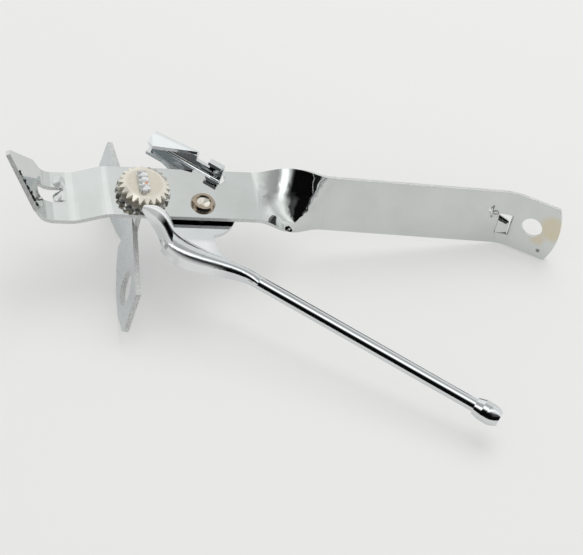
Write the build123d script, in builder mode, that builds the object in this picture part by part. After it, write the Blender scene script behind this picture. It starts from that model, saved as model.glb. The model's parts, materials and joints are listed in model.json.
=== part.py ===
"""Butterfly can opener with a cap lifter and a piercing point.

All sizes are in millimetres. The opener lies as it does on a table: on the feet of
its turning key and on the lower corner of its long handle, with Z = 0 on the table.

Pieces are drawn in the frame of the head, the flat stretch of strip that carries the
feed wheel: x runs along the strip towards the long handle, y across it, z along the
wheel's axis, and z = 0 is the face that the wheel turns on.
"""

import os
from math import atan2, cos, degrees, pi, radians, sin

from build123d import *

os.makedirs("parts", exist_ok=True)

# ---- Stock -----------------------------------------------------------------------
strip_width = 20.7
strip_thickness = 1.4
sheet = 1.3                    # sheet of the swing handle
turning_clearance = 0.05       # radial play of what turns on a pin or in a hole
staked_clearance = 0.02        # radial play of what is staked fast
axial_play = 0.05

# ---- Head of the frame strip -------------------------------------------------------
strip_offset = 0.7             # centre line of the strip from the wheel's axis
head_end = 37.0                # where the twist starts
joggle_top = -12.0             # the strip steps down to the cap lifter
joggle_foot = -22.0
joggle_depth = 3.9
joggle_radius = 9.0

# ---- Piercing point and cap lifter --------------------------------------------------
point_bend = -30.9
point_angle = 55.5
point_length = 23.3
point_shoulder = 6.5           # sides stay parallel this far past the bend
point_tip_width = 1.8
point_bend_radius = 4.5
lifter_width = 6.3
lifter_start = -24.6
lifter_middle = 1.3            # centre line of the cap lifter
lifter_reach = 2.6             # how far the window runs up the point
lip_length = 3.8               # tongue that hooks under the cap
lip_width = 5.2
lip_end_radius = 1.8
lip_angle = 25.0

# ---- Twist and long handle ----------------------------------------------------------
twist_angle = 79.0
twist_length = 24.0
twist_steps = 8
handle_yaw = -2.9
handle_rise = 0.3
handle_drop = 3.15             # sideways shift of the centre line through the twist
handle_lift = 0.66
handle_length = 62.6           # from the twist to the bend near the end
end_bend = 30.0
end_bend_radius = 12.0
end_length = 15.9
end_crown = 2.3
hang_hole_radius = 3.57
hang_hole_place = 8.8          # from the bend

# ---- Latch tongue near the end of the handle ------------------------------------------
latch_start = handle_length - 3.1    # beside the bend of the end
latch_end = handle_length + 1.7
latch_top = 1.7                # over the handle's centre line
latch_foot = -6.5
latch_gap = 0.35
latch_width = latch_end - latch_start - 2 * latch_gap
latch_length = 7.0             # of the tongue along its near side
latch_far_length = 4.8         # and along its far side, since its end is cut on a slant
latch_angle = -6.0
slit_x = handle_length - 5.6                  # hooked slit beside the latch
slit_bow = 1.3
slit_top = 4.7
slit_turn = 1.6
slit_foot = -0.2
slit_width = 0.6

# ---- Swing handle ---------------------------------------------------------------------
pivot_x = 19.3
pivot_y = -3.7
open_angle = 37.2              # angle between the swing handle and the strip, at rest
head_gap = 1.2                 # washer between the strip and the swing head
rivet_shank_radius = 2.3
rivet_head_radius = 4.0
rivet_head_height = 1.4
rivet_recess_radius = 2.1
rivet_recess_depth = 1.3
rivet_foot_radius = 3.8
rivet_foot_height = 0.9
washer_radius = 4.2
boss_radius = 11.5             # rounded lobe of the swing head round the rivet

rod_radius = 2.2
rod_offset = 14.45             # of the rod's axis from the pivot
rod_start = 24.0
rod_end = 112.5
rod_wall = 0.9
rod_seam_angle = 245.0
rod_seam_width = 0.3
rod_seam_depth = 0.45
cap_radius = 3.5
cap_length = 8.6
cap_flat_radius = 2.3
cap_cover = 5.0                # length of rod inside the cap
cap_clearance = 0.02

# ---- Rolled head of the swing handle: stations along it -------------------------------------
roll_start = -2.5
roll_middle = 7.0
roll_narrow = 18.0
roll_end = 30.0
roll_top = -0.6                # height of its crest over the widest part
roll_near = 22.2               # of its outer wall from the pivot
roll_far = 13.8                # of its inner wall
skirt_rim = -6.4               # height of its lower edge
nose_left = -12.8
nose_right = 1.4
nose_slant = -4.6              # where its open end starts on the far side
nose_top = 5.9
nose_middle = -9.4
nose_far = 13.0
nose_near = 18.4
nose_rim = -4.2
relief_x = -0.9                # relief slot where the nose runs into the roll
relief_z = -2.6
relief_height = 2.6
relief_width = 1.3

# ---- Cutter ----------------------------------------------------------------------------
cutter_wall = 15.0             # inner face of the cutter's wall from the pivot
cutter_left = -27.3
cutter_right = -11.3
cutter_ledge = 10.5            # free edge of the ledge under the cutter
cutter_top = 3.6               # height of its fold: at the end,
cutter_heel_top = 5.1          # and where it runs out
cutter_droop = 0.8             # fall of the blade towards its edge
cutter_nose = 9.9              # edge of the blade from the pivot: at its end,
cutter_tip_place = -24.7
cutter_tip = 8.4               # at its tip,
cutter_heel = 14.2             # and where it runs out
cutter_bevel = 32.0            # slope of the ground corner
stop_left = -6.2
stop_right = -1.5
stop_height = 5.0
stop_lap = 2.4
neck_height = 0.3
notch_left = 21.6
notch_right = 28.15
notch_bottom = 5.1
notch_lead = 3.0
plate_left = -12.2
ledge_root = 9.2

# ---- Feed wheel ------------------------------------------------------------------------
wheel_radius = 8.3
wheel_face_radius = 6.4
wheel_thickness = 1.7
wheel_top = 4.8
wheel_teeth = 22
wheel_tooth_depth = 1.5
wheel_land = 0.6               # straight part of the rim under its bevel
back_radius = 8.9
back_thickness = 1.1
back_teeth = 20
back_tooth_depth = 1.35
back_gap = 0.25                # between the strip and the toothed disc
wheel_core_radius = 5.2
bush_radius = 5.6              # turns in the strip

# ---- Turning key -----------------------------------------------------------------------
key_thickness = 1.7
key_turn = 2.3                 # how far the key is turned at rest
key_top = -11.3
key_span = 33.2                # from the axis to the end of a wing, along the top
key_sweep = 6.0                # each wing is bent back from the axis
key_lean_near = 9.0            # wing under the open side of the swing handle
key_lean_far = 2.0
key_foot = 17.0                # lowest point of a wing
key_depth = 18.0
key_belly = 28.0
key_belly_depth = 17.4
key_corner_near = 35.4
key_corner_far = 32.2
key_corner_depth = 14.8
key_corner_radius = 2.4
key_waist = 8.0
key_waist_depth = 16.6
key_inner = 1.8
key_inner_depth = 14.2
key_hub_half = 1.0
key_hub_depth = 6.0
key_hole_radius = 5.5
key_hole_place = 23.5
key_hole_depth = 9.0
tang_half = 4.7                # of the tang under the strip
tang_neck_half = 4.0           # of the tang through the bush and the discs
tang_head_length = 9.0
tang_head_width = 3.1
tang_head_height = 1.2
tang_marks = 4
tang_mark_spacing = 2.0
tang_mark_depth = 0.7
key_washer_radius = 7.2
key_washer_thickness = 0.8


# ---- Places that several pieces share -------------------------------------------------
wheel_bottom = wheel_top - wheel_thickness
back_top = back_gap + back_thickness
washer_top = -strip_thickness - axial_play
washer_bottom = washer_top - key_washer_thickness
swing_top = -strip_thickness - head_gap
swing_bottom = swing_top - sheet
swing_middle = swing_top - sheet / 2
near_edge = strip_offset - strip_width / 2
far_edge = strip_offset + strip_width / 2


def up_of(place):
    """The direction of a place's own z."""
    return Plane(place).z_dir


def turned(place, about_x=0, about_y=0, about_z=0):
    """The place turned about its own axes."""
    return place * Location((0, 0, 0), (about_x, about_y, about_z))


def handle_place():
    """Where the twist ends, in the head's frame: x along the handle, z out of its face."""
    start = Location((head_end + twist_length, strip_offset - handle_drop, handle_lift))
    return turned(turned(turned(start, about_z=handle_yaw), about_y=-handle_rise), about_x=twist_angle)


def end_place():
    """The bend near the end of the handle, x along the bent end."""
    return turned(handle_place() * Location((handle_length, 0, 0)), about_y=-end_bend)


def wing_place(side):
    """The outer face of a wing of the key: x outwards along its top, y upwards."""
    key = Location((0, 0, key_top), (0, 0, key_turn))
    lean = key_lean_far if side > 0 else key_lean_near
    return turned(turned(key, about_z=side * (90 + key_sweep)), about_x=90 + side * lean)


def swing_place():
    """The pivot on the head's face, x along the open swing handle's rod."""
    return Location((pivot_x, pivot_y, 0), (0, 0, -open_angle))


# The table touches the two feet of the key and the lower corner of the handle.
feet = [(wing_place(side) * Location((key_foot, -key_depth, 0))).position for side in (-1, 1)]
heel = (end_place() * Location((end_length, -strip_width / 2, -strip_thickness))).position
up = (feet[1] - feet[0]).cross(heel - feet[0]).normalized()
up = up if up.Z > 0 else up * -1
along = (Vector(1, 0, 0) - up * up.X).normalized()
aside = up.cross(along)
# The origin is on the table, midway between the ends of the opener and between its sides.
tip_x = point_bend - point_length * cos(radians(point_angle))
tip_z = point_length * sin(radians(point_angle)) - joggle_depth
tip = Vector(tip_x, strip_offset, tip_z)
crown = (end_place() * Location((end_length + end_crown, 0, -strip_thickness))).position
knob = (swing_place() * Location((rod_end + cap_length - cap_cover, -rod_offset - cap_flat_radius,
                                  swing_middle))).position
corner = (wing_place(1) * Location((key_corner_far + key_corner_radius,
                                    key_corner_radius - key_corner_depth, 0))).position
middle = up * feet[0].dot(up) + along * ((tip + crown) / 2).dot(along) + aside * ((knob + corner) / 2).dot(aside)
table = Plane(origin=middle, x_dir=along, z_dir=up)
head = table.location.inverse()


def on_head(x=0, y=0, z=0):
    """A plane parallel to the head's face."""
    return Plane(head * Location((x, y, z)))


def across_strip(x=0, z=0):
    """A plane across the strip, its x along the strip and its y along the wheel's axis."""
    return Plane(turned(head * Location((x, strip_offset, z)), about_x=90))


swing = head * swing_place()


def on_swing(z=0):
    """A plane parallel to the swing head, x along the rod and y away from it."""
    return Plane(swing * Location((0, 0, z)))


def across_swing(x):
    """A plane across the rod, its x away from the rod's side and its y upwards."""
    return Plane(turned(turned(swing * Location((x, 0, 0)), about_z=90), about_x=90))


# ---- Frame strip ------------------------------------------------------------------------
def strip_slice(share):
    """The place of a slice of the twist, at a share of the way from the head to the handle."""
    ease = share * share * (3 - 2 * share)
    start = Vector(head_end, strip_offset, -strip_thickness / 2)
    finish = (handle_place() * Location((0, 0, -strip_thickness / 2))).position
    place = Location(start + (finish - start) * share)
    place = turned(turned(place, about_z=handle_yaw * share), about_x=twist_angle * ease)
    return Plane(turned(head * place, about_y=90))


with BuildPart() as frame_strip:
    # flat head, step and piercing point
    with BuildSketch(across_strip()):
        with BuildLine():
            FilletPolyline(
                (head_end, 0), (joggle_top, 0), (joggle_foot, -joggle_depth),
                (point_bend, -joggle_depth), (tip_x, tip_z),
                radius=(joggle_radius, joggle_radius, point_bend_radius),
            )
            offset(amount=strip_thickness, side=Side.LEFT)
        make_face()
    extrude(amount=strip_width / 2, both=True)
    # sides of the piercing point
    point = Plane(turned(head * Location((point_bend, strip_offset, -joggle_depth)),
                         about_y=180 + point_angle))
    with BuildSketch(point):
        for side in (-1, 1):
            with BuildLine():
                Polyline(
                    (point_shoulder, side * strip_width / 2),
                    (point_length, side * point_tip_width / 2),
                    (point_length * 1.3, side * point_tip_width / 2),
                    (point_length * 1.3, side * strip_width),
                    (point_shoulder, side * strip_width), close=True,
                )
            make_face()
    extrude(amount=3 * strip_thickness, both=True, mode=Mode.SUBTRACT)
    # window of the cap lifter
    with BuildSketch(on_head(z=strip_thickness)):
        with Locations(((lifter_start + point_bend - lifter_reach) / 2, lifter_middle)):
            RectangleRounded(lifter_start - point_bend + lifter_reach, lifter_width, 1.2)
    extrude(amount=-joggle_depth - 3 * strip_thickness, mode=Mode.SUBTRACT)
    # twist
    with BuildSketch(*[strip_slice(k / twist_steps) for k in range(twist_steps + 1)]):
        Rectangle(strip_thickness, strip_width)
    loft()
    # long handle and its bent end
    handle = head * handle_place()
    reach = end_length + end_crown
    with BuildSketch(Plane(turned(handle, about_x=90))):
        with BuildLine():
            FilletPolyline(
                (0, 0), (handle_length, 0),
                (handle_length + reach * cos(radians(end_bend)), reach * sin(radians(end_bend))),
                radius=end_bend_radius,
            )
            offset(amount=strip_thickness, side=Side.RIGHT)
        make_face()
    extrude(amount=strip_width / 2, both=True)
    end = Plane(head * end_place())
    with BuildSketch(end):
        with BuildLine():
            ThreePointArc((end_length, strip_width / 2), (end_length + end_crown, 0),
                          (end_length, -strip_width / 2))
            Polyline((end_length, -strip_width / 2), (end_length, -strip_width),
                     (end_length + 2 * end_crown, -strip_width), (end_length + 2 * end_crown, strip_width),
                     (end_length, strip_width), (end_length, strip_width / 2))
        make_face()
        with Locations((hang_hole_place, 0)):
            Circle(hang_hole_radius)
    extrude(amount=3 * strip_thickness, both=True, mode=Mode.SUBTRACT)
    # latch tongue in its window, and the hooked slit beside it
    with BuildSketch(Plane(handle)):
        with Locations(((latch_start + latch_end) / 2, (latch_top + latch_foot) / 2)):
            Rectangle(latch_end - latch_start, latch_top - latch_foot)
        with BuildLine():
            ThreePointArc((slit_x, slit_top), (slit_x - slit_bow, (slit_top + slit_turn) / 2),
                          (slit_x, slit_turn))
            Line((slit_x, slit_turn), (slit_x, slit_foot))
        trace(line_width=slit_width)
    extrude(amount=-2 * strip_thickness, mode=Mode.SUBTRACT)
    tongue = turned(handle * Location((latch_start + latch_gap, latch_foot, 0)), about_x=latch_angle)
    with BuildSketch(Plane(tongue)):
        Polygon((0, -latch_gap), (latch_width, -latch_gap), (latch_width, latch_far_length),
                (0, latch_length), align=None)
    extrude(amount=-strip_thickness)
    # tongue of the cap lifter, bent down into its window
    lip = turned(turned(head * Location((lifter_start, lifter_middle, -joggle_depth)), about_z=180),
                 about_y=lip_angle)
    with BuildSketch(Plane(lip)):
        Polygon((-latch_gap, -lip_width / 2), (lip_length - lip_end_radius, -lip_end_radius),
                (lip_length - lip_end_radius, lip_end_radius), (-latch_gap, lip_width / 2), align=None)
        with Locations((lip_length - lip_end_radius, 0)):
            Circle(lip_end_radius)
    extrude(amount=-strip_thickness)
    # holes of the wheel's bush and of the rivet, and the notch that takes the stop finger
    notch_radius = (notch_right - notch_left) / 2
    with BuildSketch(on_head()):
        Circle(bush_radius + turning_clearance)
        with Locations((pivot_x, pivot_y)):
            Circle(rivet_shank_radius + staked_clearance)
        with Locations((notch_left + notch_radius, notch_bottom + notch_radius)):
            Circle(notch_radius)
        with BuildLine():
            Polyline((notch_left, notch_bottom + notch_radius), (notch_right, notch_bottom + notch_radius),
                     (notch_right, far_edge + 1), (notch_left - notch_lead, far_edge + 1),
                     (notch_left - notch_lead, far_edge), (notch_left, far_edge - notch_lead / 2), close=True)
        make_face()
    extrude(amount=-2 * strip_thickness, mode=Mode.SUBTRACT)
frame_strip.part.label = "frame_strip"
export_step(frame_strip.part, "parts/frame_strip.step")


# ---- Feed wheel, backing wheel, bush and washer ----------------------------------------------
wheel_axis = Axis(head.position, up_of(head))


def half_section(points):
    """A solid turned round the wheel's axis from (radius, height) points."""
    with BuildSketch(Plane(turned(head, about_x=90))) as section:
        with BuildLine():
            Polyline(*points, close=True)
        make_face()
    revolve(section.sketch, axis=wheel_axis)


def tang_slot():
    """The slot through which the tang of the key passes."""
    with BuildSketch(Plane(turned(head * Location((0, 0, key_top)), about_z=key_turn))) as hole:
        with Locations((-key_thickness / 2, 0)):
            Rectangle(key_thickness + 2 * staked_clearance, 2 * (tang_neck_half + staked_clearance))
    extrude(hole.sketch, amount=2 * wheel_top - key_top, mode=Mode.SUBTRACT)


def rim_cuts(radius, depth, count, width):
    """The gaps between the teeth of a wheel, cut right through."""
    with BuildSketch(on_head()) as gaps:
        with PolarLocations(radius, count):
            Polygon((-depth, 0), (depth, -width), (depth, width), align=None)
    extrude(gaps.sketch, amount=2 * wheel_top, mode=Mode.SUBTRACT)


with BuildPart() as feed_wheel:
    half_section([(0, back_top), (wheel_core_radius, back_top), (wheel_core_radius, wheel_bottom),
                  (wheel_radius, wheel_bottom), (wheel_radius, wheel_bottom + wheel_land),
                  (wheel_face_radius, wheel_top), (0, wheel_top)])
    rim_cuts(wheel_radius, wheel_tooth_depth, wheel_teeth, 2 * pi * wheel_radius / wheel_teeth * 0.8)
    tang_slot()
feed_wheel.part.label = "feed_wheel"
export_step(feed_wheel.part, "parts/feed_wheel.step")

with BuildPart() as backing_wheel:
    half_section([(0, back_gap), (back_radius, back_gap), (back_radius, back_top), (0, back_top)])
    rim_cuts(back_radius, back_tooth_depth, back_teeth, 2 * pi * back_radius / back_teeth * 0.8)
    tang_slot()
backing_wheel.part.label = "backing_wheel"
export_step(backing_wheel.part, "parts/backing_wheel.step")

with BuildPart() as wheel_bush:
    half_section([(0, washer_top), (bush_radius, washer_top), (bush_radius, back_gap), (0, back_gap)])
    tang_slot()
wheel_bush.part.label = "wheel_bush"
export_step(wheel_bush.part, "parts/wheel_bush.step")

with BuildPart() as key_washer:
    half_section([(0, washer_bottom), (key_washer_radius, washer_bottom),
                  (key_washer_radius, washer_top), (0, washer_top)])
    tang_slot()
key_washer.part.label = "key_washer"
export_step(key_washer.part, "parts/key_washer.step")


# ---- Turning key ------------------------------------------------------------------------------
with BuildPart() as butterfly_key:
    # tang: broad under the strip, narrower through the wheels, spread over at its end
    tang = turned(head, about_z=key_turn)
    with BuildSketch(Plane(tang * Location((0, 0, key_top - tang_half)))):
        with Locations((-key_thickness / 2, 0)):
            Rectangle(key_thickness, 2 * tang_half)
    extrude(amount=washer_bottom - key_top + tang_half)
    with BuildSketch(Plane(tang * Location((0, 0, washer_bottom)))):
        with Locations((-key_thickness / 2, 0)):
            Rectangle(key_thickness, 2 * tang_neck_half)
    extrude(amount=wheel_top - washer_bottom)
    with BuildSketch(Plane(tang * Location((0, 0, wheel_top)))):
        with Locations((-key_thickness / 2, 0)):
            SlotOverall(tang_head_length, tang_head_width, rotation=90)
    extrude(amount=tang_head_height)
    # marks of the punch that spread it
    with BuildSketch(Plane(turned(tang * Location((0, 0, wheel_top + tang_head_height)), about_y=90))):
        with GridLocations(1, tang_mark_spacing, 1, tang_marks):
            Polygon((tang_mark_depth, 0), (0, tang_mark_depth), (0, -tang_mark_depth), align=None)
    extrude(amount=tang_head_width, both=True, mode=Mode.SUBTRACT)
    # wings
    for side in (-1, 1):
        wing = Plane(head * wing_place(side))
        corner = key_corner_far if side > 0 else key_corner_near
        with BuildSketch(wing):
            with BuildLine():
                Polyline(
                    (0, 0), (key_span, 0),
                    (corner + key_corner_radius, key_corner_radius - key_corner_depth),
                    (corner, -key_corner_depth), (key_belly, -key_belly_depth), (key_foot, -key_depth),
                    (key_waist, -key_waist_depth), (key_inner, -key_inner_depth),
                    (key_hub_half, -key_hub_depth), (0, -key_hub_depth), close=True)
            make_face()
            with Locations((corner, key_corner_radius - key_corner_depth)):
                Circle(key_corner_radius)
            with Locations((key_hole_place, -key_hole_depth)):
                Circle(key_hole_radius, mode=Mode.SUBTRACT)
        extrude(amount=-side * key_thickness)
butterfly_key.part.label = "butterfly_key"
export_step(butterfly_key.part, "parts/butterfly_key.step")


# ---- Pivot ---------------------------------------------------------------------------------------
pivot_axis = Axis(swing.position, up_of(swing))


def turned_on_pivot(points):
    """A solid turned round the pivot from (radius, height) points."""
    with BuildSketch(Plane(turned(swing, about_x=90))) as section:
        with BuildLine():
            Polyline(*points, close=True)
        make_face()
    revolve(section.sketch, axis=pivot_axis)


with BuildPart() as pivot_rivet:
    foot_top = swing_bottom - axial_play
    turned_on_pivot([
        (0, foot_top - rivet_foot_height), (rivet_foot_radius * 0.75, foot_top - rivet_foot_height),
        (rivet_foot_radius, foot_top - rivet_foot_height / 2), (rivet_foot_radius, foot_top),
        (rivet_shank_radius, foot_top), (rivet_shank_radius, 0), (rivet_head_radius, 0),
        (rivet_head_radius, rivet_head_height * 0.4), (rivet_head_radius * 0.85, rivet_head_height),
        (rivet_recess_radius * 1.2, rivet_head_height),
        (rivet_recess_radius, rivet_head_height - rivet_recess_depth / 2),
        (0, rivet_head_height - rivet_recess_depth),
    ])
pivot_rivet.part.label = "pivot_rivet"
export_step(pivot_rivet.part, "parts/pivot_rivet.step")

with BuildPart() as pivot_washer:
    low, high = swing_top + axial_play, -strip_thickness
    inner = rivet_shank_radius + staked_clearance
    turned_on_pivot([(inner, low), (washer_radius, low), (washer_radius, high), (inner, high)])
pivot_washer.part.label = "pivot_washer"
export_step(pivot_washer.part, "parts/pivot_washer.step")


# ---- Swing handle -----------------------------------------------------------------------------------
def arch(x, near, foot, far, crest, rim, inset=0.0):
    """A cross section of the rolled head: its near wall, the foot and the upper part of
    its far wall, its crest and its lower rim."""
    near, foot, far, crest = inset - near, -foot - inset, -far - inset, crest - inset
    height, low = crest - rim, rim - 0.2 - 3 * inset
    with BuildSketch(across_swing(x)) as outline:
        with BuildLine():
            Polyline((near, rim + 0.5 * height), (near, low), (foot, low), (foot, rim))
            Bezier((foot, rim), (far, crest + 0.25 * height), (near, crest + 0.25 * height),
                   (near, rim + 0.5 * height))
        make_face()
    return outline.sketch


def folded(stations, first_hollow=0):
    """A sheet folded over in the shape of an arch that changes from station to station."""
    with BuildPart() as fold:
        loft([arch(*station) for station in stations])
        loft([arch(*station, inset=sheet) for station in stations[first_hollow:]], mode=Mode.SUBTRACT)
    return fold.part


def bent(x, points):
    """A cross section of sheet that is bent up along the given (across, height) points."""
    with BuildSketch(across_swing(x)) as outline:
        with BuildLine():
            FilletPolyline(*points, radius=sheet)
            offset(amount=sheet, side=Side.RIGHT)
        make_face()
    return outline.sketch


rod_height = swing_middle
rod_near, rod_far = rod_offset + rod_radius, rod_offset - rod_radius
roll_stations = [
    (roll_start, roll_near - 1.8, roll_far - 0.8, roll_far - 0.8, roll_top, skirt_rim),
    (roll_middle, roll_near, roll_far, roll_far, roll_top, skirt_rim),
    (roll_narrow, rod_near + 2.0, rod_far, rod_far, roll_top - 0.2, skirt_rim + 0.9),
    (roll_end, rod_near + 0.05, rod_far - 0.05, rod_far - 0.05, rod_height + rod_radius + 0.05,
     rod_height - 0.4),
]
nose_stations = [
    (nose_left, nose_near - 0.1, nose_far + 3.6, nose_far + 3.4, nose_top - 0.8, nose_top - 2.4),
    (nose_left + 1.6, nose_near, nose_far + 3.2, nose_far + 1.8, nose_top - 0.2, nose_top - 3.8),
    (nose_middle, nose_near, nose_far + 2.2, nose_far + 0.2, nose_top, nose_rim + 4.8),
    (nose_middle + 3.6, nose_near + 0.4, nose_far + 0.3, nose_far, nose_top - 0.6, nose_rim + 2.0),
    (nose_right - 3.0, nose_near + 1.8, nose_far + 1.6, nose_far + 1.6, nose_top - 2.8, skirt_rim + 0.2),
    (nose_right, nose_near + 2.3, nose_far + 1.8, nose_far + 1.8, nose_top - 4.6, skirt_rim),
]
wall = cutter_wall
wall_outside = cutter_wall + sheet

roll = folded(roll_stations)
with BuildPart() as nose:
    add(folded(nose_stations, first_hollow=2))
    # its open end, cut on the slant
    with BuildSketch(on_swing(skirt_rim)):
        Polygon((nose_slant, -nose_far), (nose_right + 1, -nose_far), (nose_right + 1, -2 * nose_far),
                (nose_right - 0.5, -nose_near - 2.6), align=None)
    extrude(amount=3 * nose_top, both=True, mode=Mode.SUBTRACT)

with BuildPart() as swing_handle:
    add(roll)
    add(nose.part)
    # rolled rod, with the groove of its seam
    with BuildSketch(across_swing(rod_start)):
        with Locations((-rod_offset, rod_height)):
            Circle(rod_radius)
            Circle(rod_radius - rod_wall, mode=Mode.SUBTRACT)
    extrude(amount=rod_end - rod_start)
    with BuildSketch(across_swing(roll_end + 2)):
        with Locations((-rod_offset, rod_height)):
            with Locations(Rotation(0, 0, rod_seam_angle)):
                with Locations((rod_radius, 0)):
                    Rectangle(2 * rod_seam_depth, rod_seam_width)
    extrude(amount=rod_end - roll_end - 2, mode=Mode.SUBTRACT)
    # relief slot in its near wall
    with BuildSketch(Plane(turned(swing * Location((relief_x, -nose_near, relief_z)), about_x=90))):
        SlotOverall(relief_height, relief_width, rotation=90)
    extrude(amount=roll_near - nose_near + 2 * sheet, mode=Mode.SUBTRACT)
    # plate under the strip
    with BuildSketch(on_swing(swing_top)):
        Circle(boss_radius)
        with BuildLine():
            Polyline(
                (plate_left, -12), (plate_left, 4), (plate_left - 5, ledge_root),
                (plate_left - 9, cutter_ledge), (plate_left - 9, wall), (stop_right, wall),
                (stop_right + 2, boss_radius * 0.9),
                (boss_radius * 0.7, -boss_radius * 0.6), (12.5, -11), (13.6, -12.2), (17.1, -12.5),
                (roll_narrow, -roll_far), (nose_middle, -nose_far - 2.4), (nose_middle - 1, -nose_far - 1.5),
                close=True)
        make_face()
    extrude(amount=-sheet)
    # cutter: ledge, wall and blade in one fold, the blade's edge running in to its tip
    loft([bent(x, [(cutter_ledge, swing_top), (wall, swing_top), (wall, top - sheet),
                   (cutter_tip - 1, top - sheet - cutter_droop)])
          for x, top in ((cutter_left, cutter_top), (cutter_right, cutter_heel_top))])
    with BuildSketch(on_swing()):
        Polygon((cutter_left - 1, cutter_nose), (cutter_left, cutter_nose), (cutter_tip_place, cutter_tip),
                (cutter_right, cutter_heel), (cutter_right, 0), (cutter_left - 1, 0), align=None)
    extrude(amount=2 * cutter_heel_top, mode=Mode.SUBTRACT)
    corner_run = Vector(cutter_left - cutter_tip_place, cutter_wall - 2 * sheet - cutter_tip)
    corner_angle = degrees(atan2(corner_run.Y, corner_run.X))
    bevel = swing * Location((cutter_tip_place, cutter_tip, cutter_top - cutter_droop / 2))
    with BuildSketch(Plane(turned(turned(bevel, about_z=corner_angle), about_x=-cutter_bevel))):
        Rectangle(4 * cutter_top, 2 * cutter_top, align=(Align.CENTER, Align.MIN))
    extrude(amount=cutter_top, mode=Mode.SUBTRACT)
    # low neck and the stop finger, turned in at its top
    loft([bent(x, [(cutter_ledge, swing_top), (wall, swing_top), (wall, neck_height)])
          for x in (cutter_right, stop_left)])
    loft([bent(x, [(cutter_ledge, swing_top), (wall, swing_top), (wall, stop_height - sheet),
                   (wall - stop_lap, stop_height - sheet)]) for x in (stop_left, stop_right)])
    # hole of the rivet
    with BuildSketch(on_swing(swing_top)):
        Circle(rivet_shank_radius + turning_clearance)
    extrude(amount=2 * sheet, both=True, mode=Mode.SUBTRACT)
swing_handle.part.label = "swing_handle"
export_step(swing_handle.part, "parts/swing_handle.step")

with BuildPart() as handle_end_cap:
    start = rod_end - cap_cover
    cap_axis = Axis((swing * Location((start, -rod_offset, rod_height))).position, across_swing(start).z_dir)
    with BuildSketch(Plane(turned(swing * Location((start, -rod_offset, rod_height)), about_z=-90))) as half:
        with BuildLine():
            Polyline((rod_radius + cap_clearance, cap_cover), (rod_radius + cap_clearance, 0),
                     (rod_radius + 0.6, 0), (cap_radius, cap_length * 0.3), (cap_radius, cap_length * 0.5))
            ThreePointArc((cap_radius, cap_length * 0.5), (cap_radius * 0.92, cap_length * 0.8),
                          (cap_flat_radius, cap_length))
            Polyline((cap_flat_radius, cap_length), (0, cap_length), (0, cap_cover),
                     (rod_radius + cap_clearance, cap_cover))
        make_face()
    revolve(half.sketch, axis=cap_axis)
handle_end_cap.part.label = "handle_end_cap"
export_step(handle_end_cap.part, "parts/handle_end_cap.step")
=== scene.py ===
"""Finishes, light and camera for the butterfly can opener.

Places on the opener are given in the head's own frame, as in the part's source: x along the
strip towards the long handle, y across it, z along the feed wheel's axis, with z = 0 on the
face that the wheel turns on. Places that on_head or a division by 1000 turns into metres are
in millimetres; every other length is in metres.
"""

import json
from math import cos, pi, radians, sin

import bmesh
import bpy
from mathutils import Matrix, Vector


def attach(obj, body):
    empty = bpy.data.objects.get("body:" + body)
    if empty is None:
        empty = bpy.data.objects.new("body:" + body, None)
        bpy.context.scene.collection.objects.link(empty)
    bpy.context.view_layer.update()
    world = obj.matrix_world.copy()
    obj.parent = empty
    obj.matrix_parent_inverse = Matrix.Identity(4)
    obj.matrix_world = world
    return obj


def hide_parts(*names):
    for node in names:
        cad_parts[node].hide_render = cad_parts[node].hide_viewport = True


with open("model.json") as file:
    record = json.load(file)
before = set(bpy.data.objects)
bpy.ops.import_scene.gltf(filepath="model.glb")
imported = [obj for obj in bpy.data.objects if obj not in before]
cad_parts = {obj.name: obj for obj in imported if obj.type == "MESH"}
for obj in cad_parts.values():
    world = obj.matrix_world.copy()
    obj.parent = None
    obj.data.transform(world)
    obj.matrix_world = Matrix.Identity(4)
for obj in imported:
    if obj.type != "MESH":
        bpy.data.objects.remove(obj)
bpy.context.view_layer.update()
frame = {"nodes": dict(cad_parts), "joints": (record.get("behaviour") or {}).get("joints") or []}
nodes = frame["nodes"]
joints = {joint["name"]: joint for joint in frame["joints"]}


# ---- Frames on the opener ----------------------------------------------------------------
def head_frame():
    """Where the head lies: its z is the key's axis, and its x lies over the part's X."""
    key = joints["key_turn"]
    up = Vector(key["axis"]).normalized()
    forward = Vector((up.z, 0, -up.x)).normalized()
    across = up.cross(forward)
    place = Matrix((forward, across, up)).transposed().to_4x4()
    place.translation = Vector(key["pos_m"])
    return place


head = head_frame()


def on_head(x, y, z):
    """A point of the head's frame, given in millimetres, in the part's frame in metres."""
    return head @ (Vector((x, y, z)) / 1000)


def head_direction(x, y, z):
    """A direction of the head's frame, in the part's frame."""
    return (head.to_3x3() @ Vector((x, y, z))).normalized()


handle_start = Vector((61.0, -2.45, 0.66)) / 1000         # where the twist ends
handle_yaw, handle_rise, twist_angle = -2.9, 0.3, 79.0    # degrees


def handle_frame():
    """The long handle's frame: x along it, y across it, z out of its upper face."""
    turn = (Matrix.Rotation(radians(handle_yaw), 4, "Z") @ Matrix.Rotation(radians(-handle_rise), 4, "Y")
            @ Matrix.Rotation(radians(twist_angle), 4, "X"))
    return head @ Matrix.Translation(handle_start) @ turn


handle = handle_frame()
handle_across = (handle.to_3x3() @ Vector((0, 1, 0))).normalized()


# ---- Node trees --------------------------------------------------------------------------
def new_material(name):
    """A material with an empty tree, and its tree."""
    material = bpy.data.materials.new(name)
    material.use_nodes = True
    material.node_tree.nodes.clear()
    return material, material.node_tree


def feed(tree, socket, source):
    """Joins an input to another node's output, or sets it to a value."""
    if hasattr(source, "is_output"):
        tree.links.new(source, socket)
    else:
        socket.default_value = source


def node(tree, kind, links=(), **values):
    """A node with its settings, and with its inputs fed, as (name or number, source)."""
    made = tree.nodes.new(kind)
    for name, value in values.items():
        setattr(made, name, value)
    for socket, source in links:
        feed(tree, made.inputs[socket], source)
    return made


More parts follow.
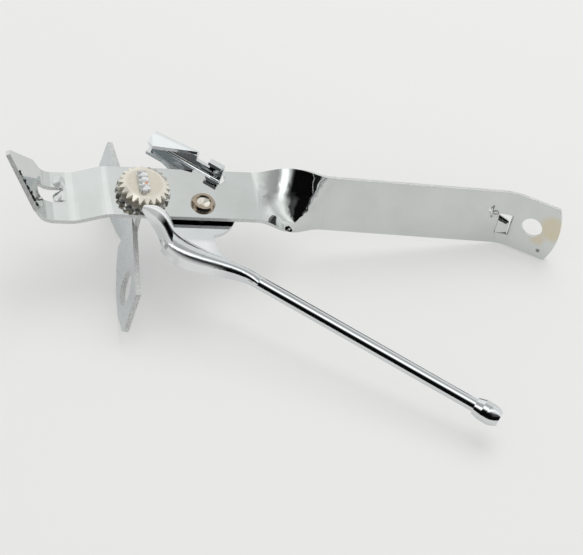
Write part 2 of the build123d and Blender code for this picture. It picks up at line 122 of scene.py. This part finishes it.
def ramp(tree, source, stops):
    """A colour ramp over the source, with its (place, colour) stops."""
    made = node(tree, "ShaderNodeValToRGB", [("Fac", source)])
    elements = made.color_ramp.elements
    while len(elements) < len(stops):
        elements.new(1.0)
    for element, (place, colour) in zip(elements, stops):
        element.position = place
        element.color = (*colour, 1.0)
    return made.outputs["Color"]


def spread(tree, source, low, high, out_low, out_high):
    """The source's range low to high, stretched to another range and cut off at its ends."""
    made = node(tree, "ShaderNodeMapRange", [("Value", source), ("From Min", low), ("From Max", high),
                                             ("To Min", out_low), ("To Max", out_high)])
    return made.outputs["Result"]


def grain(tree, where, scale, detail, stretch=None):
    """A noise on the object's own coordinates, which may be stretched and then turned as the
    head lies."""
    if stretch is not None:
        turn = node(tree, "ShaderNodeMapping", [
            ("Vector", where), ("Scale", stretch), ("Rotation", head.to_3x3().transposed().to_euler())])
        where = turn.outputs["Vector"]
    made = node(tree, "ShaderNodeTexNoise", [("Vector", where), ("Scale", scale), ("Detail", detail)])
    return made.outputs["Fac"]


def mixed(tree, share, first, second):
    """Two colours mixed by a share."""
    made = node(tree, "ShaderNodeMix", [("Factor", share)], data_type="RGBA")
    for name, colour in (("A", first), ("B", second)):
        socket = next(i for i in made.inputs if i.name == name and i.type == "RGBA")
        feed(tree, socket, colour if hasattr(colour, "is_output") else (*colour, 1.0))
    return next(o for o in made.outputs if o.type == "RGBA")


def calculated(tree, operation, *sources):
    """A math node over its sources."""
    return node(tree, "ShaderNodeMath", enumerate(sources), operation=operation).outputs["Value"]


def product(tree, first, *others):
    """The sources multiplied with each other."""
    for other in others:
        first = calculated(tree, "MULTIPLY", first, other)
    return first


def along(tree, where, direction):
    """How far a place, or how much a direction, points along a fixed direction."""
    made = node(tree, "ShaderNodeVectorMath", [(0, where), (1, direction)], operation="DOT_PRODUCT")
    return made.outputs["Value"]


def near(tree, where, point, inner, outer):
    """1 within the inner distance of a point, falling to 0 at the outer distance."""
    made = node(tree, "ShaderNodeVectorMath", [(0, where), (1, point)], operation="DISTANCE")
    return spread(tree, made.outputs["Value"], inner, outer, 1.0, 0.0)


def head_axis(tree, where, axis):
    """The place along one of the head's axes, in metres from the head's origin."""
    direction = head_direction(*axis)
    return calculated(tree, "SUBTRACT", along(tree, where, direction), head.translation.dot(direction))


# ---- Finishes ----------------------------------------------------------------------------
twist_start, twist_end, twist_fade = 0.037, 0.061, 0.001    # along the head
key_rest_turn = 2.3            # degrees, of the key about its axis
rim_radius = 0.00012           # of the rounding that every edge gets

edge_facing = (0.7, 0.8)       # how squarely a sheared edge looks across the strip
plate_facing = (0.4, 0.6)      # how squarely the key's plate looks along its turned x

# Where the painted highlight on the swing handle fades out, along the head's z, x and y and from its nose.
highlight_below, highlight_before, highlight_outside = (-0.0022, -0.0014), (0.019, 0.024), (-0.018, -0.0165)
highlight_nose, highlight_reach = on_head(0.6, -12.3, 4.9), (0.0022, 0.0055)
# The pale colour of the painted highlight on the swing handle's nose and lower flank.
painted_highlight_colour = (0.90, 0.905, 0.91)
torn_dark, torn_bright = (0.50, 0.51, 0.50), (0.80, 0.81, 0.80)

# Scales of the noises: the larger, the finer.
patch_scale, swell_scale, blot_scale, wiping_scale, tear_scale = 90, 140, 500, 700, 2500
wiping_stretch = (0.12, 1.0, 1.0)      # draws the wiping marks out along the part's X
least_gloss, most_gloss = 0.75, 1.3    # of the roughness between and in the wiping marks
swell_height = 0.0006
scuff_height, scuff_strength = 0.00004, 0.05


def sheared_edges(tree, normal, where):
    """1 on the strip's sheared edges, before and after its twist."""
    on_flat = calculated(tree, "ABSOLUTE", along(tree, normal, head_direction(0, 1, 0)))
    on_handle = calculated(tree, "ABSOLUTE", along(tree, normal, handle_across))
    reach = head_axis(tree, where, (1, 0, 0))
    before = spread(tree, reach, twist_start - twist_fade, twist_start + twist_fade, 1.0, 0.0)
    after = spread(tree, reach, twist_end - twist_fade, twist_end + twist_fade, 0.0, 1.0)
    both = calculated(tree, "ADD", product(tree, before, on_flat), product(tree, after, on_handle))
    return spread(tree, both, *edge_facing, 0.0, 1.0)


def plate_edges(tree, normal, where):
    """1 on the cut edges of the key's plate as it lies at rest. The normal stays in the
    part's frame, so it doesn't follow a turned key."""
    turn = radians(key_rest_turn)
    facing = calculated(tree, "ABSOLUTE", along(tree, normal, head_direction(cos(turn), sin(turn), 0)))
    return spread(tree, facing, *plate_facing, 1.0, 0.0)


def painted_highlight_mask(tree, where):
    """1 on the swing handle's nose and on the lower flank of its roll, where a highlight is painted."""
    below = spread(tree, head_axis(tree, where, (0, 0, 1)), *highlight_below, 1.0, 0.0)
    before = spread(tree, head_axis(tree, where, (1, 0, 0)), *highlight_before, 1.0, 0.0)
    outside = spread(tree, head_axis(tree, where, (0, 1, 0)), *highlight_outside, 1.0, 0.0)
    nose = near(tree, where, highlight_nose, *highlight_reach)
    return calculated(tree, "MAXIMUM", product(tree, below, before, outside), nose)


def stained(tree, where, tint, stains):
    """The tint with uneven patches of other colours, as (point, inner, outer, colour)."""
    for point, inner, outer, stain in stains:
        blot = spread(tree, grain(tree, where, blot_scale, 3), 0.3, 0.7, 0.75, 1.0)
        share = product(tree, near(tree, where, point, inner, outer), blot)
        tint = mixed(tree, share, tint, stain)
    return tint


def uneven(tree, where, marks, waviness):
    """The normal of a slightly wavy sheet with rounded rims and fine wiping marks."""
    rounded = node(tree, "ShaderNodeBevel", [("Radius", rim_radius)], samples=4)
    swell = node(tree, "ShaderNodeBump", [
        ("Height", grain(tree, where, swell_scale, 1)), ("Strength", waviness),
        ("Distance", swell_height), ("Normal", rounded.outputs["Normal"])])
    scuff = node(tree, "ShaderNodeBump", [
        ("Height", marks), ("Strength", scuff_strength), ("Distance", scuff_height),
        ("Normal", swell.outputs["Normal"])])
    return scuff.outputs["Normal"]


def plating(name, colour, dull, roughness, waviness, stains=(), edges=None, metal=1.0, painted_highlight=None):
    """A plated metal: a clean and a dull colour in soft patches, fine wiping marks in its
    gloss, a slight waviness of the sheet, and rounded rims. Stains are patches of another
    colour. Edges finds the cut edges, which are coarser. Painted highlight finds where a pale,
    rougher and less metal colour is painted on the plating as a highlight."""
    material, tree = new_material(name)
    where = node(tree, "ShaderNodeTexCoord").outputs["Object"]
    patches = spread(tree, grain(tree, where, patch_scale, 3), 0.4, 0.7, 0.0, 1.0)
    tint = stained(tree, where, mixed(tree, patches, colour, dull), stains)
    marks = grain(tree, where, wiping_scale, 3, wiping_stretch)
    gloss = spread(tree, marks, 0.3, 0.75, roughness * least_gloss, roughness * most_gloss)
    shader = node(tree, "ShaderNodeBsdfPrincipled", [
        ("Base Color", tint), ("Roughness", gloss), ("Metallic", metal),
        ("Normal", uneven(tree, where, marks, waviness))])

    def covered(share, colour, rougher, least_metal):
        """Another colour, a coarser gloss and less metal where the share is 1."""
        feed(tree, shader.inputs["Base Color"], mixed(tree, share, tint, colour))
        feed(tree, shader.inputs["Roughness"], calculated(tree, "MULTIPLY_ADD", share, rougher, gloss))
        feed(tree, shader.inputs["Metallic"], spread(tree, share, 0.0, 1.0, metal, least_metal))

    # Painted highlight: a pale, rougher, less metal colour where the mask is 1.
    if painted_highlight:
        covered(painted_highlight(tree, where), painted_highlight_colour, rougher=0.12, least_metal=0.22)
    if edges:
        normal = node(tree, "ShaderNodeNewGeometry").outputs["True Normal"]
        torn = ramp(tree, grain(tree, where, tear_scale, 3), [(0.35, torn_dark), (0.62, torn_bright)])
        covered(edges(tree, normal, where), torn, rougher=0.35, least_metal=0.35)
    node(tree, "ShaderNodeOutputMaterial", [("Surface", shader.outputs["BSDF"])])
    return material


def on_pivot(height):
    """The point of the swing handle's axis at a height over the head's origin."""
    pivot = Vector(joints["handle_swing"]["pos_m"])
    up = head_direction(0, 0, 1)
    return pivot + up * (height - (pivot - head.translation).dot(up))


# Stains, as (point, inner and outer distance, colour).
tarnish = (on_head(136.9, -13.6, 4.9), 0.0034, 0.0058, (0.64, 0.58, 0.44))           # by the hanging hole
lower_tarnish = (on_head(133.5, -12.4, -1.2), 0.0015, 0.0030, (0.64, 0.58, 0.46))    # under the hole
punched_mark = (on_head(134.5, -14.1, -5.2), 0.0004, 0.0009, (0.16, 0.17, 0.17))     # by the lower edge
wheel_face = (on_head(0, 0, 4.8), 0.0054, 0.0062, (0.70, 0.65, 0.55))                # inside the teeth
rivet_hollow = (on_pivot(0.0008), 0.0021, 0.0026, (0.86, 0.82, 0.74))
rust_spot = (on_head(0.1, -1.2, 6.0), 0.0004, 0.0009, (0.62, 0.34, 0.20))            # on the tang

finishes = {
    "frame_strip": plating("satin_nickel_strip", (0.64, 0.66, 0.65), (0.60, 0.62, 0.605), 0.05, 0.03,
                           stains=[tarnish, lower_tarnish, punched_mark], edges=sheared_edges),
    "feed_wheel": plating("cream_nickel_wheel", (0.84, 0.80, 0.71), (0.76, 0.71, 0.62), 0.24, 0.02,
                          stains=[wheel_face], metal=0.6),
    "backing_wheel": plating("bright_nickel_disc", (0.72, 0.71, 0.68), (0.56, 0.55, 0.52), 0.16, 0.05,
                             metal=0.75),
    "wheel_bush": plating("dark_nickel_bush", (0.50, 0.49, 0.46), (0.38, 0.37, 0.35), 0.25, 0.05),
    "key_washer": plating("dark_nickel_washer", (0.55, 0.55, 0.53), (0.42, 0.42, 0.40), 0.22, 0.05),
    "butterfly_key": plating("dull_zinc_key", (0.62, 0.66, 0.67), (0.58, 0.62, 0.63), 0.24, 0.03,
                             edges=plate_edges),
    "pivot_rivet": plating("warm_nickel_rivet", (0.46, 0.38, 0.30), (0.38, 0.31, 0.24), 0.2, 0.03,
                           stains=[rivet_hollow]),
    "pivot_washer": plating("dark_nickel_spacer", (0.50, 0.50, 0.48), (0.38, 0.38, 0.36), 0.22, 0.05),
    "swing_handle": plating("mirror_chrome_handle", (0.72, 0.74, 0.75), (0.68, 0.70, 0.71), 0.035, 0.02,
                            painted_highlight=painted_highlight_mask),
    "handle_end_cap": plating("mirror_chrome_cap", (0.72, 0.74, 0.75), (0.68, 0.70, 0.71), 0.03, 0.01),
}
for name, finish in finishes.items():
    for slot in nodes[name].material_slots:
        slot.material = finish


# ---- Making pieces -------------------------------------------------------------------------
def mesh_piece(name, shape):
    """An object made of a bmesh, which is freed."""
    mesh = bpy.data.meshes.new(name)
    shape.to_mesh(mesh)
    shape.free()
    piece = bpy.data.objects.new(name, mesh)
    bpy.context.scene.collection.objects.link(piece)
    return piece


def settle(piece):
    """Replaces a piece's mesh by what its modifiers make of it, and takes them off."""
    bpy.context.view_layer.update()
    made = bpy.data.meshes.new_from_object(piece.evaluated_get(bpy.context.evaluated_depsgraph_get()))
    piece.modifiers.clear()
    piece.data = made


def fit_out(piece, material, body):
    """Gives a piece its one material and lets it ride on a body."""
    piece.data.materials.clear()
    piece.data.materials.append(material)
    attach(piece, body)


# ---- The strip with its open window -----------------------------------------------------------
window_low = Vector((59.5, -6.2, -0.03))      # corners of the latch window in the handle's frame
window_high = Vector((64.3, 1.7, 2.5))
merge_distance = 1e-6
sharp_angle = radians(28)


def window_cutter():
    """A block as large as the latch window."""
    block = bmesh.new()
    bmesh.ops.create_cube(block, size=1.0)
    middle, size = (window_low + window_high) / 2000, (window_high - window_low) / 1000
    fit = Matrix.Translation(middle) @ Matrix.Diagonal((*size, 1.0))
    block.transform(handle @ fit)
    return mesh_piece("window_cutter", block)


def opened_strip():
    """The frame strip with its latch window open through the start of the bent end."""
    shape = bmesh.new()
    shape.from_mesh(nodes["frame_strip"].data)
    bmesh.ops.remove_doubles(shape, verts=shape.verts, dist=merge_distance)
    strip = mesh_piece("opened_frame_strip", shape)
    cutter = window_cutter()
    cut = strip.modifiers.new("window", "BOOLEAN")
    cut.operation, cut.solver, cut.object = "DIFFERENCE", "EXACT", cutter
    settle(strip)
    bpy.data.objects.remove(cutter)
    strip.data.shade_smooth()
    strip.data.set_sharp_from_angle(angle=sharp_angle)
    weigh = strip.modifiers.new("even_shading", "WEIGHTED_NORMAL")
    weigh.keep_sharp = True
    settle(strip)
    fit_out(strip, finishes["frame_strip"], "frame")
    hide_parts("frame_strip")


# ---- Rows of lumps -----------------------------------------------------------------------------
most_turn = 1.2                # radians, which a lump turns by at a roughness of 1


def tree_of(name, sizes):
    """An empty geometry tree with named inputs for its sizes, and the outputs that carry them."""
    tree = bpy.data.node_groups.new(name, "GeometryNodeTree")
    for size, (kind, value) in sizes.items():
        tree.interface.new_socket(size, in_out="INPUT", socket_type=kind).default_value = value
    tree.interface.new_socket("Geometry", in_out="OUTPUT", socket_type="NodeSocketGeometry")
    return tree, node(tree, "NodeGroupInput").outputs


def grown(name, tree, sizes, place, material, body):
    """A piece made by a geometry tree with these sizes, moved to its place."""
    piece = mesh_piece(name, bmesh.new())
    growth = piece.modifiers.new(name, "NODES")
    growth.node_group = tree
    for item in tree.interface.items_tree:
        if item.in_out == "INPUT" and item.name in sizes:
            growth[item.identifier] = sizes[item.name]
    settle(piece)
    piece.data.transform(place)
    fit_out(piece, material, body)


def drawn(tree, seed, low, high):
    """A random number between low and high for each lump. Sockets of the same name stand for
    the node's other types, so these are told apart by number."""
    made = node(tree, "FunctionNodeRandomValue", [(2, low), (3, high), ("Seed", seed)], data_type="FLOAT")
    return made.outputs[1]


def row_of_lumps(material):
    """A tree that sets rounded lumps in a row along Y. Rough lumps differ in size and turn."""
    tree, sizes = tree_of("row_of_lumps", {
        "Count": ("NodeSocketInt", 4), "Spacing": ("NodeSocketFloat", 0.002),
        "Half Size": ("NodeSocketVector", (0.001, 0.001, 0.001)), "Roughness": ("NodeSocketFloat", 0.0),
        "Seed": ("NodeSocketInt", 7)})
    step = node(tree, "ShaderNodeCombineXYZ", [("Y", sizes["Spacing"])])
    row = node(tree, "GeometryNodeMeshLine", [("Count", sizes["Count"]), ("Offset", step.outputs[0])],
               mode="OFFSET")
    lump = node(tree, "GeometryNodeMeshUVSphere", [("Segments", 20), ("Rings", 12), ("Radius", 1.0)])
    seed, roughness = sizes["Seed"], sizes["Roughness"]
    size = drawn(tree, seed, calculated(tree, "SUBTRACT", 1.0, roughness),
                 calculated(tree, "ADD", 1.0, roughness))
    turn = drawn(tree, seed, calculated(tree, "MULTIPLY", roughness, -most_turn),
                 calculated(tree, "MULTIPLY", roughness, most_turn))
    scale = node(tree, "ShaderNodeVectorMath", [(0, sizes["Half Size"]), ("Scale", size)], operation="SCALE")
    angle = node(tree, "ShaderNodeCombineXYZ", [("Z", turn)])
    set_out = node(tree, "GeometryNodeInstanceOnPoints", [
        ("Points", row.outputs["Mesh"]), ("Instance", lump.outputs["Mesh"]),
        ("Rotation", angle.outputs[0]), ("Scale", scale.outputs["Vector"])])
    solid = node(tree, "GeometryNodeRealizeInstances", [("Geometry", set_out.outputs["Instances"])])
    smooth = node(tree, "GeometryNodeSetShadeSmooth", [("Geometry", solid.outputs["Geometry"])])
    dressed = node(tree, "GeometryNodeSetMaterial", [("Geometry", smooth.outputs["Geometry"]),
                                                     ("Material", material)])
    node(tree, "NodeGroupOutput", [("Geometry", dressed.outputs["Geometry"])])
    return tree


def hammered_crown():
    """Rounded hammer marks that fill the cuts across the spread head of the tang."""
    finish = plating("bright_hammered_tang", (0.84, 0.85, 0.86), (0.76, 0.76, 0.76), 0.14, 0.05,
                     stains=[rust_spot])
    count, spacing, height = 4, 0.002, 0.00535
    place = head @ Matrix.Rotation(radians(key_rest_turn), 4, "Z") @ Matrix.Translation(
        (0, -spacing * (count - 1) / 2, height))
    grown("hammered_tang_crown", row_of_lumps(finish),
          {"Count": count, "Spacing": spacing, "Half Size": (0.0014, 0.00098, 0.00078), "Roughness": 0.04},
          place, finish, "wheel_and_key")


def sheared_burrs():
    """The torn burr along the near edge of the piercing point, coloured near black as painted shade in its
    serrations.
    """
    # Near black: painted shade in the serrations, on real burr lumps.
    finish = plating("torn_burr_painted_shade", (0.10, 0.10, 0.105), (0.05, 0.05, 0.055), 0.4, 0.05)
    start, end = Vector((-40.6, -3.0, 10.5)) / 1000, Vector((-34.3, -7.9, 1.2)) / 1000
    count = 15
    down_edge = (end - start).normalized()
    across = down_edge.cross(Vector((0, 1, 0))).normalized()
    place = Matrix((across, down_edge, across.cross(down_edge))).transposed().to_4x4()
    place.translation = start
    grown("sheared_burrs", row_of_lumps(finish),
          {"Count": count, "Spacing": (end - start).length / (count - 1),
           "Half Size": (0.00026, 0.00055, 0.00028), "Roughness": 0.55},
          head @ place, finish, "frame")


# ---- Pressed and folded lumps of the strip -------------------------------------------------------
def pressed_bump():
    """The rounded bump that the press raised beside the cap lifter's window."""
    middle = Vector((-25.9, 6.9, -3.9)) / 1000
    half_x, half_y, rise = 0.0021, 0.0032, 0.00055
    sink = 0.00004             # of its rim into the strip
    rings, steps = 8, 40
    shape = bmesh.new()
    top = shape.verts.new((0, 0, rise))
    rows = []
    for ring in range(1, rings + 1):
        share = ring / rings
        height = rise * (1 - share ** 2) ** 1.4 - (sink if ring == rings else 0)
        rows.append([shape.verts.new((half_x * share * cos(turn), half_y * share * sin(turn), height))
                     for turn in (2 * pi * step / steps for step in range(steps))])
    for step in range(steps):
        following = (step + 1) % steps
        shape.faces.new((top, rows[0][step], rows[0][following]))
        for inner, outer in zip(rows, rows[1:]):
            shape.faces.new((inner[step], outer[step], outer[following], inner[following]))
    base = shape.faces.new(rows[-1][::-1])
    for face in shape.faces:
        face.smooth = face != base
    shape.transform(head @ Matrix.Translation(middle))
    fit_out(mesh_piece("pressed_bump", shape), finishes["frame_strip"], "frame")


def rounded_nub():
    """The small rounded nub between the hooked slit and the latch tongue. Its pale, half-metal finish is a
    painted highlight.
    """
    middle = Vector((58.05, 1.5, 0.2)) / 1000      # in the handle's frame
    radius, flatness = 0.00125, 0.75
    rings, steps = 12, 32
    shape = bmesh.new()
    bmesh.ops.create_uvsphere(shape, u_segments=steps, v_segments=rings, radius=radius)
    shape.transform(handle @ Matrix.Translation(middle) @ Matrix.Diagonal((1.0, 1.0, flatness, 1.0)))
    for face in shape.faces:
        face.smooth = True
    # Painted highlight: pale and half metal, so the curl reads white whatever it mirrors.
    finish = plating("nub_painted_highlight", (0.76, 0.74, 0.75), (0.68, 0.66, 0.67), 0.3, 0.03, metal=0.45)
    fit_out(mesh_piece("rounded_nub", shape), finish, "frame")


opened_strip()
rounded_nub()
hammered_crown()
sheared_burrs()
pressed_bump()


# ---- Camera ----------------------------------------------------------------------------------
camera_place = on_head(-120.24, -403.14, 437.87)
camera_aim = on_head(44.049, -33.514, 0)
camera_roll = 7.2954           # degrees
camera_lens, camera_sensor = 116.97, 36.0      # millimetres


def place_camera():
    """The camera above the left end of the opener."""
    data = bpy.data.cameras.new("studio_camera")
    data.lens, data.sensor_width = camera_lens, camera_sensor
    data.clip_start, data.clip_end = 0.01, 20.0
    camera = bpy.data.objects.new("studio_camera", data)
    aimed = (camera_place - camera_aim).to_track_quat("Z", "Y").to_matrix().to_4x4()
    rolled = Matrix.Rotation(radians(camera_roll), 4, "Z")
    camera.matrix_world = Matrix.Translation(camera_place) @ aimed @ rolled
    bpy.context.scene.collection.objects.link(camera)
    bpy.context.scene.camera = camera


place_camera()


# ---- Floor, studio and lights ------------------------------------------------------------------
opener_middle = Vector((0.04, -0.02, 0.02))
towards_camera = camera_place - opener_middle
away = -Vector((towards_camera.x, towards_camera.y, 0)).normalized()     # level

sheet_size, sheet_gap = 6.0, 0.0002            # the gap keeps it clear of the opener
painted_dark_from = 0.13              # how far towards the camera the metal still mirrors the sheet; beyond it, the sheet is painted near black for metal
sheet_glow = 0.315             # of the sheet's own light where it is seen
cloud_scale = 6                # of the noise that clouds the sheet


def pale_floor():
    """A wide matt sheet that everything lies on. Where it is seen, in metal too, it is
    partly bright by itself, which keeps its shadows soft. Metal mirrors it only as far as a line
    towards the camera; beyond it the sheet is painted near black for metal, a painted reflection of a dark
    room."""
    bpy.ops.mesh.primitive_plane_add(size=sheet_size, location=(0, 0, -sheet_gap))
    sheet = bpy.context.object
    sheet.name = "pale_floor"
    material, tree = new_material("matt_white_sheet")
    where = node(tree, "ShaderNodeTexCoord").outputs["Object"]
    light = node(tree, "ShaderNodeLightPath").outputs
    seen = calculated(tree, "ADD", light["Is Camera Ray"], light["Is Glossy Ray"])
    clouds = grain(tree, where, cloud_scale, 3)
    tint = ramp(tree, clouds, [(0.3, (0.885, 0.89, 0.88)), (0.7, (0.90, 0.90, 0.895))])
    shaded = ramp(tree, clouds, [(0.3, (0.575, 0.58, 0.57)), (0.7, (0.585, 0.585, 0.58))])
    front = spread(tree, along(tree, where, -away), painted_dark_from, painted_dark_from * 1.15, 0.0, 1.0)
    # Painted reflection: towards the camera, metal sees the sheet near black, as if it mirrored a dark room.
    beyond = product(tree, front, light["Is Glossy Ray"])
    colour = mixed(tree, beyond, mixed(tree, seen, tint, shaded), (0.004, 0.004, 0.005))
    glow = product(tree, seen, calculated(tree, "SUBTRACT", 1.0, beyond), sheet_glow)
    shader = node(tree, "ShaderNodeBsdfPrincipled", [
        ("Base Color", colour), ("Roughness", 0.9), ("Specular IOR Level", 0.1),
        ("Emission Color", (1.0, 1.0, 0.985, 1.0)), ("Emission Strength", glow)])
    node(tree, "ShaderNodeOutputMaterial", [("Surface", shader.outputs["BSDF"])])
    sheet.data.materials.append(material)


# What metal shows of the room, from the wall behind the opener (0 degrees) over the ceiling
# to the dark side behind the camera (180 degrees), as (angle, brightness).
room_left = [(0, 1.05), (43, 1.05), (45, 1.2), (48, 1.2), (51, 0.95), (56, 0.78), (64, 0.55), (80, 0.44),
             (88, 0.75), (92, 1.6), (106, 1.6), (112, 0.7), (119, 0.1), (125, 0.003)]
room_middle = [(0, 0.82), (46, 0.83), (54, 0.62), (62, 0.44), (76, 0.58), (86, 0.92), (91, 1.5), (102, 1.5),
               (110, 0.75), (118, 0.15), (127, 0.04), (145, 0.003)]
room_right = [(0, 0.8), (43, 0.9), (50, 1.1), (62, 0.75), (75, 0.9), (85, 1.2), (99, 1.2), (110, 0.85),
              (123, 0.4), (131, 0.07), (147, 0.09), (157, 0.004)]
room_slant = 0.4               # how much the room's bands lean over to the side
plain_light = 0.66             # of the room on whatever doesn't mirror it


def studio_world():
    """A pale room with bright bands and a dark side, which metal mirrors; it lights the rest
    evenly."""
    world = bpy.data.worlds.new("studio")
    bpy.context.scene.world = world
    world.use_nodes = True
    tree = world.node_tree
    tree.nodes.clear()
    direction = node(tree, "ShaderNodeTexCoord").outputs["Generated"]
    height = along(tree, direction, Vector((0, 0, 1)))
    over = calculated(tree, "ARCTAN2", height, along(tree, direction, away))
    sideways = calculated(tree, "ARCSINE", along(tree, direction, away.cross(Vector((0, 0, 1)))))
    slanted = calculated(tree, "MULTIPLY_ADD", sideways, room_slant, over)
    share = spread(tree, slanted, 0.0, radians(180), 0.0, 1.0)
    left, middle, right = (
        ramp(tree, share, [(angle / 180, (0.985 * light, light, 0.995 * light)) for angle, light in stops])
        for stops in (room_left, room_middle, room_right))
    room = mixed(tree, spread(tree, sideways, radians(-4), radians(6), 0.0, 1.0), left, middle)
    room = mixed(tree, spread(tree, sideways, radians(10), radians(24), 0.0, 1.0), room, right)
    shown = node(tree, "ShaderNodeBackground", [("Color", room), ("Strength", 1.0)])
    plain = node(tree, "ShaderNodeBackground", [("Color", (1.0, 1.0, 1.0, 1.0)), ("Strength", plain_light)])
    mirrored = node(tree, "ShaderNodeLightPath").outputs["Is Glossy Ray"]
    both = node(tree, "ShaderNodeMixShader", [
        ("Fac", mirrored), (1, plain.outputs["Background"]), (2, shown.outputs["Background"])])
    node(tree, "ShaderNodeOutputWorld", [("Surface", both.outputs["Shader"])])


def soft_lamp(name, place, target, size, watts):
    """A square lamp that metal doesn't mirror; the room's own bands do that."""
    data = bpy.data.lights.new(name, "AREA")
    data.size, data.energy = size, watts
    lamp = bpy.data.objects.new(name, data)
    aimed = (place - target).to_track_quat("Z", "Y").to_matrix().to_4x4()
    lamp.matrix_world = Matrix.Translation(place) @ aimed
    lamp.visible_glossy = False
    bpy.context.scene.collection.objects.link(lamp)


pale_floor()
studio_world()
lamp_target = Vector((0.03, -0.02, 0.0))
soft_lamp("overhead_lamp", lamp_target + Vector((0.25, 0.45, 0.9)), lamp_target, size=0.7, watts=3.0)

bpy.context.scene.view_settings.view_transform = "Standard"
